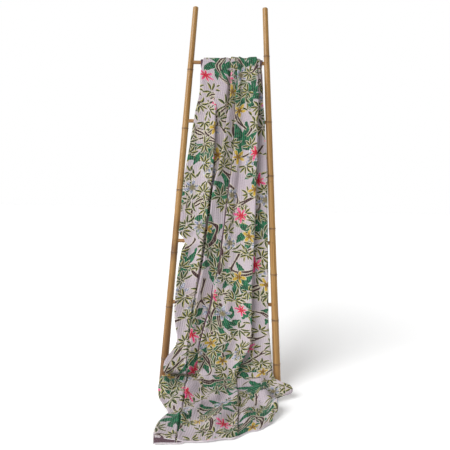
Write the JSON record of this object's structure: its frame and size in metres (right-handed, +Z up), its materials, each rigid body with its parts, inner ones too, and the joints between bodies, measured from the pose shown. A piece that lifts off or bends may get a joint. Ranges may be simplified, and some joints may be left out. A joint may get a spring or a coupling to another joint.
{
  "type": "quilt on a leaning ladder rack",
  "caption": "Bamboo ladder rack leaning back on a wall, with a printed hand-stitched quilt hung in folds over its top rung and pooling on the floor.",
  "frame": {"origin": "on the floor, in the middle of the object's outline seen from above", "axes": "+X to the viewer's right along the rungs, +Y back towards the wall, +Z up"},
  "size_m": [0.627, 0.9928, 1.8431],
  "materials": {
    "bamboo_rail": "satin, sealed golden bamboo",
    "bamboo_rung": "satin, sealed golden bamboo",
    "peg_wood": "matte, dark end grain",
    "printed_cotton": "printed plain weave with rows of running stitch",
    "inner_cotton": "plain undyed weave",
    "plum_cotton": "plain dyed weave",
    "binding_cotton": "turned edge strip, plain weave"
  },
  "bodies": {
    "ladder": {"left_rail": "bamboo_rail", "right_rail": "bamboo_rail", "rung_1": "bamboo_rung", "rung_2": "bamboo_rung", "rung_3": "bamboo_rung", "rung_4": "bamboo_rung", "rung_5": "bamboo_rung", "left_peg_1": "peg_wood", "left_peg_2": "peg_wood", "left_peg_3": "peg_wood", "left_peg_4": "peg_wood", "left_peg_5": "peg_wood", "right_peg_1": "peg_wood", "right_peg_2": "peg_wood", "right_peg_3": "peg_wood", "right_peg_4": "peg_wood", "right_peg_5": "peg_wood"},
    "quilt": {"quilt_face": "printed_cotton", "quilt_inner_cloth": "inner_cotton", "quilt_backing": "plum_cotton", "binding_left": "binding_cotton", "binding_right": "binding_cotton", "binding_back_hem": "binding_cotton", "binding_front_hem": "binding_cotton"}
  },
  "joints": [
    {"name": "quilt_lift", "type": "slide", "parent": "ladder", "child": "quilt", "axis": [0, 0.2419, 0.9703], "range_m": [0, 0.6]}
  ]
}
